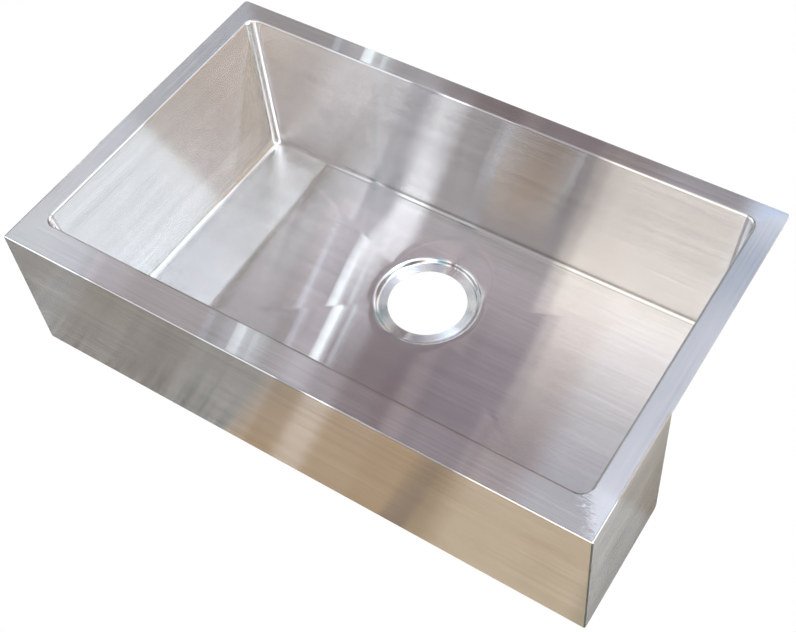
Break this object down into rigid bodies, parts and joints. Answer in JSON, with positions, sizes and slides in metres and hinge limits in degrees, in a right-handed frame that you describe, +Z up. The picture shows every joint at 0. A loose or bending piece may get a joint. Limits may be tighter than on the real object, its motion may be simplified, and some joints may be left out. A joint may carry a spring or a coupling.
{
  "type": "kitchen sink",
  "caption": "Apron-front kitchen sink of brushed stainless sheet: flat rim, one deep bowl with leaning walls, creased floor and a recessed round drain hole, sound pads beneath.",
  "frame": {"origin": "under the middle of the rim's outline, level with the underside of the drain recess, the lowest point", "axes": "+X along the apron to the right as seen from in front of it, +Y from the apron to the back, +Z up"},
  "size_m": [0.686, 0.42, 0.1912],
  "materials": {
    "steel_rim": "brushed along each ledge, hand-dressed at the welded corners",
    "steel_walls": "brushed along each wall",
    "steel_floor": "brushed along the length of the bowl",
    "steel_apron": "brushed along each face",
    "steel_brace": "mill finish",
    "pad_rubber": "matte, moulded"
  },
  "bodies": {
    "root": {"rim_front": "steel_rim", "rim_back": "steel_rim", "rim_left": "steel_rim", "rim_right": "steel_rim", "wall_front": "steel_walls", "wall_back": "steel_walls", "wall_left": "steel_walls", "wall_right": "steel_walls", "corner_front_left": "steel_walls", "corner_front_right": "steel_walls", "corner_back_left": "steel_walls", "corner_back_right": "steel_walls", "floor_pan": "steel_floor", "drain_recess": "steel_floor", "apron_front": "steel_apron", "apron_return_left": "steel_apron", "apron_return_right": "steel_apron", "apron_brace_left": "steel_brace", "apron_brace_middle": "steel_brace", "apron_brace_right": "steel_brace", "pad_left": "pad_rubber", "pad_right": "pad_rubber", "pad_back": "pad_rubber", "pad_floor_left": "pad_rubber", "pad_floor_right": "pad_rubber", "pad_floor_front": "pad_rubber"}
  },
  "joints": []
}
